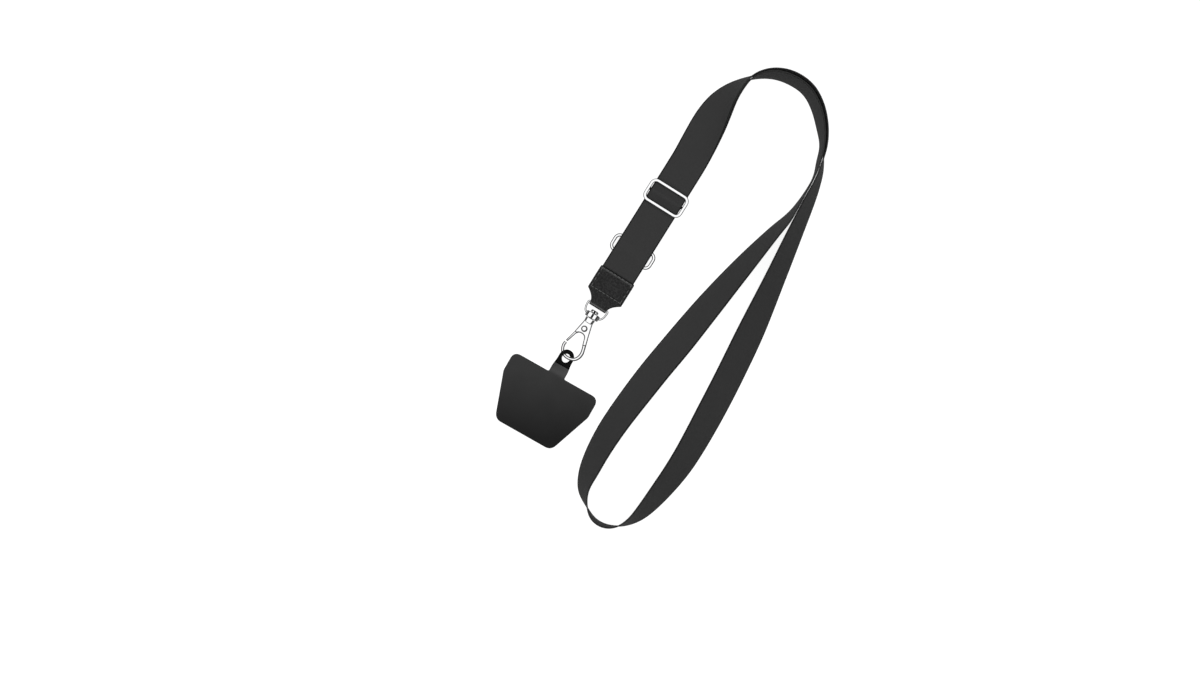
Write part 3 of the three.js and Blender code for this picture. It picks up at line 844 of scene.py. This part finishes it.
edge_highlight_place = 0.0016
highlight_reach = 0.0007
fold_highlight_place = 0.0262
leather_settings = {"Roughness": 0.5, "Specular IOR Level": 0.13}
black_leather, tree, shader = new_material("black_leather", leather_settings)
place = own_place(tree)
marks, across, along = surface_marks(tree)
from_middle = maths(tree, "ABSOLUTE", across)
wobble = add_node(tree, "ShaderNodeTexNoise", {"Vector": place, "Scale": 900.0, "Detail": 2.0})
shift = add_node(tree, "ShaderNodeVectorMath", {0: wobble.outputs["Color"], 3: 0.0006}, operation="SCALE")
bent = add_node(tree, "ShaderNodeVectorMath", {0: place, 1: shift.outputs[0]}, operation="ADD")
cells = {"Vector": bent.outputs[0], "Scale": 1250.0}
grain = add_node(tree, "ShaderNodeTexVoronoi", cells, feature="DISTANCE_TO_EDGE").outputs["Distance"]
pebble = ramp(tree, grain, 0, 0.16)
cloud = noise(tree, place, 160, 4)
patches = ramp(tree, noise(tree, place, 780, 3), 0.4, 0.6)
body_tone = mix(tree, patches, grey(0.0085), grey(0.0265))
# The grain's creases are painted darker: painted shade in the hollows between the pebbles
tone = mix(tree, pebble, grey(0.007), body_tone)
# Two lighter bands across the leather: painted highlights where light catches the rounded top edge and the
# crown of the fold
for middle, highlight_level in ((edge_highlight_place, 0.06), (fold_highlight_place, 0.11)):
    far = maths(tree, "ABSOLUTE", plus(tree, along, -middle))
    tone = mix(tree, ramp(tree, far, 0, highlight_reach, 0.95, 0), tone, grey(highlight_level))
side_paint = ramp(tree, from_middle, leather_width / 2 - 0.0009, leather_width / 2 - 0.0003, 0, 0.7)
# The dark band at the top end is real edge paint on the cut, widened onto the top face as painted shade for
# the shadow line where the leather meets the webbing
end_paint_and_shade = ramp(tree, along, 0.0008, 0.0011, 1, 0)
tone = mix(tree, end_paint_and_shade, mix(tree, side_paint, tone, grey(0.004)), grey(0.004))
tree.links.new(tone, shader.inputs["Base Color"])
tree.links.new(ramp(tree, cloud, 0.3, 0.7, 0.42, 0.56), shader.inputs["Roughness"])
add_bump(tree, shader, plus(tree, pebble, times(tree, cloud, 1.5)), 0.00005, 0.6)

leather_patch = new_object("leather_end_patch", leather_mesh(), black_leather)
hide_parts("leather_end")
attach(leather_patch, "strap_body")


def stitch_tree():
    """Lays stitches along a path of mesh edges, each a short fat thread turned a little by chance"""
    tree, given = new_group("stitch_row", ("Spacing", "Stitch length", "Thread width"), "Seed")
    line = add_node(tree, "GeometryNodeMeshToCurve", {"Mesh": given["Path"]})
    spread = {"Curve": line.outputs["Curve"], "Length": given["Spacing"]}
    points = add_node(tree, "GeometryNodeCurveToPoints", spread, mode="LENGTH")
    ball = {"Segments": 10, "Rings": 8, "Radius": 0.5}
    thread = add_node(tree, "GeometryNodeMeshUVSphere", ball)
    size = {"X": given["Thread width"], "Y": given["Thread width"], "Z": given["Stitch length"]}
    scale = add_node(tree, "ShaderNodeCombineXYZ", size)
    copies = {
        "Points": points.outputs["Points"],
        "Instance": thread.outputs["Mesh"],
        "Rotation": points.outputs["Rotation"],
        "Scale": scale.outputs["Vector"],
    }
    stitches = add_node(tree, "GeometryNodeInstanceOnPoints", copies)
    chance = add_node(tree, "FunctionNodeRandomValue", {"Seed": given["Seed"]}, data_type="FLOAT_VECTOR")
    chance.inputs[0].default_value = (-0.03, -0.03, -0.03)
    chance.inputs[1].default_value = (0.03, 0.03, 0.03)
    turned = {"Instances": stitches.outputs["Instances"], "Rotation": chance.outputs[0]}
    loose = add_node(tree, "GeometryNodeRotateInstances", turned)
    return end_group(tree, given, loose.outputs["Instances"])


black_thread, tree, shader = new_material("black_thread", {"Roughness": 0.62, "Specular IOR Level": 0.2})
place = own_place(tree)
plies = {"Vector": place, "Scale": 900.0, "Distortion": 1.5}
twist = add_node(tree, "ShaderNodeTexWave", plies, bands_direction="DIAGONAL")
tree.links.new(mix(tree, twist.outputs["Fac"], grey(0.07), grey(0.12)), shader.inputs["Base Color"])
add_bump(tree, shader, twist.outputs["Fac"], 0.00004, 0.5)

stitch_row = stitch_tree()
seam_corners = [
    (-seam_side, seam_low), (seam_side, seam_low), (seam_side, seam_high), (-seam_side, seam_high)
]
seam_sides = list(zip(seam_corners, [*seam_corners[1:], seam_corners[0]]))
stitch_settings = {
    "Spacing": stitch_spacing,
    "Stitch length": stitch_length,
    "Thread width": stitch_width,
    "Seed": 7,
    "Finish": black_thread,
}
stitch_heights = (leather_height + 0.00002, 0.00022)
seam_rows = []
for height in stitch_heights:
    for (x1, y1), (x2, y2) in seam_sides:
        reach = math.hypot(x2 - x1, y2 - y1)
        trim = (reach - math.floor(reach / stitch_spacing) * stitch_spacing) / 2
        begin = (trim / reach, 1 - trim / reach)
        ends = [(x1 + (x2 - x1) * share, y1 + (y2 - y1) * share, height) for share in begin]
        path = path_mesh("seam_path", ends, False)
        seam_rows.append(grown("seam_row", stitch_row, path, stitch_settings))
leather_seam = new_object("leather_seam", joined("leather_seam", seam_rows), black_thread)
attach(leather_seam, "strap_body")


# Swivel loop: a half-round loop of chromed wire whose straight side runs through the leather's
# fold. Both its ends are cast into a barrel, and the hook's pin turns in the barrel's bore.
bail_width = 0.0168
block_top = 0.0052
block_length = 0.0039
block_width = 0.01
block_height = 0.0082
post_width = 0.003
block_edge = 0.0005
seam_half = 0.00065
seam_deep = 0.0016
barrel_power = 3.2


bail_side = (bail_width - bail_wire) / 2
bail_low = -block_top - block_length / 2
bail_bend = bail_wire * 0.8
bail_half = [(0, bar_place), (bail_side - bail_bend, bar_place)]
start = bail_half[-1]
turn_end = (bail_side, bar_place - bail_bend)
knee = (bail_side - bail_bend * 0.35, bar_place)
hip = (bail_side, bar_place - bail_bend * 0.35)
bail_half += bezier((start, knee, hip, turn_end), 8)
low_end = (block_width / 2 - 0.0012, bail_low)
bail_half += bezier((turn_end, (bail_side, bail_low * 0.62), (bail_side * 0.85, bail_low), low_end))
bail_line = [*[(-x, y) for x, y in reversed(bail_half)], *bail_half[1:]]
bail_path = path_mesh("bail_path", [(x, y, hook_height) for x, y in bail_line], False)
wire_settings |= {"Wire width": bail_wire, "Wire height": bail_wire, "Edge radius": 0.48 * bail_wire}
bail = grown("bail", bent_wire, bail_path, wire_settings)
barrel_low = -block_top - block_length
barrel_profile = []
for turn in range(0, 91, 15):
    out = block_width / 2 - block_edge * (1 - math.sin(math.radians(turn)))
    barrel_profile.append((out, barrel_low + block_edge * (1 - math.cos(math.radians(turn)))))
barrel_profile += [(radius, 2 * barrel_low + block_length - y) for radius, y in reversed(barrel_profile)]
barrel_middle = Vector((0, 0, hook_height))
barrel_squash = block_height / block_width
barrel = turned_mesh("barrel", barrel_profile, barrel_middle, "Y", 64, barrel_squash, barrel_power)
bore_half = post_width / 2 + gap
cut_ends = (barrel_low - 0.002, -block_top + 0.002)
barrel_bore = rod_mesh("barrel_bore", bore_half, *cut_ends, barrel_middle)
seam_middle = barrel_middle + Vector((0, 0, block_height / 2))
barrel_seam = rod_mesh("barrel_seam", seam_half, *cut_ends, seam_middle, 4, seam_deep / seam_half)
swivel = fused("swivel_bail", [bail, barrel], [barrel_bore, barrel_seam])
mark_joint_shade(swivel, barrel_middle, seam_half, (barrel_low + block_edge, -block_top - block_edge))
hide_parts("swivel_loop")
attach(swivel, "swivel")


# Snap hook: a zinc casting, polished and chrome plated. A pin with a riveted head holds it in the
# barrel, its arm carries the gate in a slot, and its round bow comes back up to meet the gate.
head_width = 0.0056
head_length = 0.0018
collar_width = 0.0072
collar_length = 0.0034
hook_length = 0.0321
hook_width = 0.0152
body_thick = 0.0048
bow_wire = 0.0019
gate_thick = 0.002
gate_eye = 0.0023
rivet_width = 0.0022
rivet_head = 0.004
hook_top = -block_top - block_length - gap
collar_squash = 0.85
collar_power = 3.2
head_squash = 0.95
head_power = 3.0
arm_bevel = 0.00085
gate_bevel = 0.0008
bow_steps = 8
taper_start = 0.34
taper_end = 0.6
taper_thick = 1.16

# The bow's line: side and down in shares of the hook's width and length, and its width in wires
bow_rows = [
    (0.31, 0.42, 1.5),
    (0.395, 0.55, 1.45),
    (0.46, 0.65, 1.35),
    (0.5, 0.74, 1.45),
    (0.475, 0.84, 1.4),
    (0.36, 0.925, 1.3),
    (0.17, 0.965, 1.2),
    (-0.05, 0.97, 1.2),
    (-0.24, 0.935, 1.2),
    (-0.37, 0.855, 1.2),
    (-0.42, 0.765, 1.2),
    (-0.405, 0.7, 1.2),
]


def hook_point(side, down):
    return (side * hook_width, hook_top - down * hook_length)


def hook_line(*shares):
    return [hook_point(side, down) for side, down in shares]


def plate_mesh(name, outline, thick, bevel=0.0):
    """A flat plate of that outline, half its thickness above and below the hook's middle height"""
    work = bmesh.new()
    low = hook_height - thick / 2
    corners = [work.verts.new(Vector((x, y, low)) + drawn_origin) for x, y in outline]
    bottom = work.faces.new(corners)
    made = bmesh.ops.extrude_face_region(work, geom=[bottom])
    top = [v for v in made["geom"] if isinstance(v, bmesh.types.BMVert)]
    bmesh.ops.translate(work, verts=top, vec=(0, 0, thick))
    bmesh.ops.recalc_face_normals(work, faces=work.faces)
    if bevel:
        rims = [e for e in work.edges if abs(e.verts[0].co.z - e.verts[1].co.z) < 1e-7]
        bmesh.ops.bevel(work, geom=rims, offset=bevel, segments=4, profile=0.5, affect="EDGES")
    return closed_work(work, name)


def slice_at(work, levels):
    for level in levels:
        parts = [*work.verts, *work.edges, *work.faces]
        bmesh.ops.bisect_plane(work, geom=parts, plane_co=(0, level, 0), plane_no=(0, 1, 0))


def arm_outline():
    line = hook_line((-0.2, 0.06), (-0.325, 0.405), (-0.21, 0.43))
    for peak in (((-0.15, 0.375), (0.02, 0.375)), ((0.19, 0.375), (0.235, 0.46))):
        start = line[-1]
        middle, end = hook_line(*peak)
        near = tuple(s + (m - s) * 2 / 3 for s, m in zip(start, middle))
        far = tuple(e + (m - e) * 2 / 3 for e, m in zip(end, middle))
        line += bezier((start, near, far, end), 12)
    return [*line, *hook_line((0.32, 0.585), (0.48, 0.565), (0.2, 0.06))]


def tapered(mesh):
    """The arm seen from its side: thick to past the rivet, then thinning to the bow"""
    work = bmesh.new()
    work.from_mesh(mesh)
    thin = bow_wire * taper_thick / body_thick
    start = hook_top - taper_start * hook_length + drawn_origin.y
    end = hook_top - taper_end * hook_length + drawn_origin.y
    middle = hook_height + drawn_origin.z
    slice_at(work, [start + (end - start) * k / 8 for k in range(9)])
    for vertex in work.verts:
        share = min(max((vertex.co.y - start) / (end - start), 0), 1)
        vertex.co.z = middle + (vertex.co.z - middle) * (1 + (thin - 1) * share)
    work.to_mesh(mesh)
    work.free()
    return mesh


def bow_mesh():
    turns = [2 * math.pi * k / 28 for k in range(28)]
    points = [Vector((*hook_point(side, down), hook_height)) for side, down, wide in bow_rows]
    line = smooth_line(points, lambda k: bow_steps)
    stations = [(point, Vector((0, 0, 1))) for point in line]
    rings = []
    for k in range(len(line)):
        row = min(k // bow_steps, len(bow_rows) - 2)
        start, end = (bow_rows[j][2] for j in (row, row + 1))
        wide = start + (end - start) * (k / bow_steps - row)
        high = bow_wire / 2 * math.sqrt(wide)
        section = [(high * math.cos(t), bow_wire / 2 * wide * math.sin(t)) for t in turns]
        rings.append(ring_of(stations, k, section))
    return loft_mesh("bow", rings)


pivot = hook_point(0, 0.256)
hook_middle = Vector((0, 0, hook_height))
head_low = -block_top + gap
head_top = head_low + head_length
collar_profile = [
    (collar_width * 0.445, hook_top - collar_length),
    (collar_width * 0.48, hook_top - collar_length * 0.25), (collar_width * 0.48, hook_top),
]
head_profile = [
    (head_width / 2, head_low), (head_width / 2, head_low + head_length * 0.6),
    (head_width * 0.42, head_low + head_length * 0.93), (head_width * 0.34, head_top),
]
pin = rod_mesh("pin", post_width / 2, hook_top - 0.001, head_low + 0.0005, hook_middle, 48)
collar = turned_mesh("collar", collar_profile, hook_middle, "Y", 48, collar_squash, collar_power)
head = turned_mesh("head", head_profile, hook_middle, "Y", 48, head_squash, head_power)
arm = tapered(plate_mesh("arm", arm_outline(), body_thick, arm_bevel))
slot_line = arc(pivot[0], pivot[1], gate_eye + gap, -63, 135, 24)
slot_line += hook_line((-0.5, 0.35), (-0.5, 0.6), (0.16, 0.6), (0.16, 0.36))
gate_slot = plate_mesh("gate_slot", slot_line, gate_thick + 2 * gap)
pivot_middle = Vector((pivot[0], pivot[1], hook_height))
rivet_bore_half = rivet_width / 2 + gap
sink_half = rivet_head / 2 + 0.0002
sink_deep = sink_half - rivet_bore_half
face = body_thick / 2
bore_profile = both_ways([(rivet_bore_half, face - sink_deep), (sink_half + 0.001, face + 0.001)])
rivet_bore = turned_mesh("rivet_bore", bore_profile, pivot_middle, "Z", 32)
slot_middle = hook_middle + Vector((0, 0, head_width / 2))
slot_ends = (head_low + 0.0002, head_top + 0.001)
head_slot = rod_mesh("head_slot", seam_half, *slot_ends, slot_middle, 4, seam_deep / seam_half)
hook_shapes = [pin, collar, head, arm, bow_mesh()]
hook_cuts = [gate_slot, rivet_bore, head_slot]
snap_hook = fused("snap_hook", hook_shapes, hook_cuts)
mark_joint_shade(snap_hook, hook_middle, seam_half, (head_low, head_top))
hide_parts("hook_body")
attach(snap_hook, "hook")


# Gate and rivet: the gate is a small lever with an eye, held shut by a spring inside the hook's
# arm. It turns on a steel rivet whose two round heads show on the hook's faces.
gate_line = hook_line(
    (-0.14, 0.235), (-0.315, 0.4), (-0.45, 0.665), (-0.35, 0.675), (-0.2, 0.43), (0.04, 0.31)
)
gate_arm = plate_mesh("gate_arm", gate_line, gate_thick, gate_bevel)
gate_ring = plate_mesh("gate_ring", arc(pivot[0], pivot[1], gate_eye, 0, 354, 59), gate_thick)
gate_bore = turned_mesh("gate_bore", both_ways([(rivet_bore_half, body_thick)]), pivot_middle, "Z", 32)
snap_gate = fused("snap_gate", [gate_arm, gate_ring], [gate_bore], grain=0.00011, rounds=4)
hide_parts("hook_gate")
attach(snap_gate, "gate")

head_reach = body_thick / 2 + gap
head_rise = 0.0006
dome_turns = (0, 0.3, 0.6, 0.9, 1.2, 1.45)
dome = [(rivet_head / 2 * math.cos(t), head_reach + head_rise * math.sin(t)) for t in dome_turns]
rivet_top = [(rivet_width / 2, head_reach), (rivet_head / 2 * 0.97, head_reach), *dome]
rivet_mesh = turned_mesh("gate_pin", both_ways(rivet_top), pivot_middle, "Z", 36)
rivet = new_object("gate_pin", rivet_mesh, chrome)
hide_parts("gate_rivet")
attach(rivet, "hook")


# Tether patch: a flat sheet of smooth coated black cloth that lies inside a phone case, with a
# tab that comes out of the case. The tab's end has a second layer welded on round the eyelet,
# and the hook's bow passes through the eyelet, which tips the tab on its side.
tether_width = 0.067
tether_length = 0.047
tether_foot = 0.044
tether_corner = 0.0056
tether_side = 0.0146
tab_length = 0.0196
tab_corner = 0.0006
foot_slant = 0.0017
hole_width = 0.0064
hole_across = 0.0076
tab_lean = math.radians(35)
tether_turn = math.radians(2.5)
cover_reach = 0.0117
cover_rise = 0.0001

tab_round = tab_width / 2
tether_top = tab_round - tab_length
tether_low = tether_top - tether_length
cover_low = tab_round - cover_reach


def tether_outline():
    x = tether_width / 2
    foot = tether_foot / 2
    c = tether_corner
    top = tether_top
    low = tether_low
    line = arc(0, 0, tab_round, 0, 180, 36)
    line += [(-tab_round, top + tab_corner), (-tab_round - tab_corner, top)]
    turns = [
        ((-x + c, top), (-x, top), (-x, top - c)),
        ((-foot - foot_slant, low + 0.8 * c), (-foot, low), (-foot + 0.8 * c, low)),
        ((foot - 0.8 * c, low), (foot, low), (foot + foot_slant, low + 0.8 * c)),
        ((x, top - c), (x, top), (x - c, top)),
    ]
    side = top - tether_side
    blunt = [(x, side + 0.001), (0.999 * x, side), (0.992 * x, side - 0.001)]
    for k, turn in enumerate(turns):
        if k == 3:
            line += reversed(blunt)
        line += bezier(turn, corner_steps, 0)
        if k == 0:
            line += [(-a, b) for a, b in blunt]
    return [*line, (tab_round + tab_corner, top), (tab_round, top + tab_corner)]


def lifted(y):
    share = (y - tether_top - 2 * gap) / (-tab_round * 0.3 - tether_top - 2 * gap)
    share = min(max(share, 0), 1)
    return share * share * (3 - 2 * share)


def tether_mesh():
    work = bmesh.new()
    pull = hole_across / hole_width
    eyelet_line = [(x * pull, y) for x, y in arc(0, 0, hole_width / 2, 0, 352.5, 47)]
    loops = [tether_outline(), eyelet_line]
    for loop in loops:
        corners = [work.verts.new((x, y, 0)) for x, y in loop]
        for a, b in zip(corners, [*corners[1:], corners[0]]):
            work.edges.new((a, b))
    bmesh.ops.triangle_fill(work, use_beauty=True, edges=work.edges)
    levels = [tether_top + (tab_round - tether_top) * k / 40 for k in range(40)]
    levels += [cover_low - 0.00005, cover_low + 0.00005]
    slice_at(work, levels)
    bmesh.ops.recalc_face_normals(work, faces=work.faces)
    if sum(face.normal.z for face in work.faces) < 0:
        bmesh.ops.reverse_faces(work, faces=work.faces)
    layout = work.loops.layers.uv.new("weave")
    lower = {}
    for vertex in list(work.verts):
        lower[vertex] = work.verts.new(vertex.co)
    for face in list(work.faces):
        work.faces.new([lower[v] for v in reversed(face.verts)])
    for edge_item in [e for e in work.edges if len(e.link_faces) == 1 and e.verts[0] in lower]:
        a, b = edge_item.verts
        loop = next(loop for loop in edge_item.link_faces[0].loops if loop.edge == edge_item)
        if loop.vert == a:
            a, b = b, a
        work.faces.new([a, b, lower[b], lower[a]])
    for face in work.faces:
        for loop in face.loops:
            loop[layout].uv = (loop.vert.co.x, loop.vert.co.y)
    tops = set(lower)
    turn = Matrix.Rotation(tether_turn, 4, "Z")
    eyelet = Vector((0, hook_top - hook_length, 0)) + drawn_origin
    for vertex in work.verts:
        x, y, z = vertex.co
        share = lifted(y)
        roll = tab_lean * share
        thick = tether_thick / 2 + (cover_rise if y > cover_low else 0)
        side = thick if vertex in tops else -thick
        height = tether_thick / 2 + (hook_height - tether_thick / 2) * share
        over = x * math.cos(roll) + side * math.sin(roll)
        up = height - x * math.sin(roll) + side * math.cos(roll)
        vertex.co = turn @ Vector((over, y, up)) + eyelet
    return closed_work(work, "tether_sheet")


tether_settings = {"Roughness": 0.62, "Specular IOR Level": 0.08}
coated_cloth, tree, shader = new_material("coated_cloth", tether_settings)
marks, across, along = surface_marks(tree)
weave = times(tree, sine(tree, across, 0.0008), sine(tree, along, 0.0008))
cloud = noise(tree, marks, 60, 3)
# The sheet is painted darker towards the bottom and the right: painted shade from the case's shading
shade_slope = ramp(tree, plus(tree, along, times(tree, across, -0.35)), tether_low, tether_top, 0, 1, "LINEAR")
sheet_tone = mix(tree, shade_slope, grey(0.0095), grey(0.032))
# The tab is painted lighter than the sheet: painted light where it tips up towards the light
is_tab = ramp(tree, along, tether_top - 0.001, tether_top + 0.003)
tab_light_tone = mix(tree, is_tab, sheet_tone, grey(0.064))
cover_tone = mix(tree, cloud, grey(0.0035), grey(0.0055))
is_cover = ramp(tree, along, cover_low - 0.0005, cover_low - 0.0003)
tone = mix(tree, is_cover, mix(tree, times(tree, cloud, 0.2), tab_light_tone, grey(0.012)), cover_tone)
# A thin dark line at the cover's lower edge: a weld line, deepened with painted shadow of the cover's step
weld_line_and_shadow = ramp(tree, along, cover_low + 0.0001, cover_low + 0.0004, 1, 0)
tone = mix(tree, times(tree, is_cover, weld_line_and_shadow), tone, grey(0.001))
tree.links.new(tone, shader.inputs["Base Color"])
tree.links.new(ramp(tree, cloud, 0.3, 0.7, 0.55, 0.68), shader.inputs["Roughness"])
add_bump(tree, shader, plus(tree, weave, noise(tree, marks, 3000, 2)), 0.00002, 0.5)

tether = new_object("tether_sheet", tether_mesh(), coated_cloth)
rim = tether.modifiers.new("rim", "BEVEL")
rim.width = 0.00028
rim.segments = 3
rim.limit_method = "ANGLE"
rim.angle_limit = math.radians(60)
finished = made_mesh(tether, "tether_sheet")
tether.modifiers.remove(rim)
tether.data = finished
finished.shade_smooth()
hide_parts("tether_patch")
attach(tether, "hook")
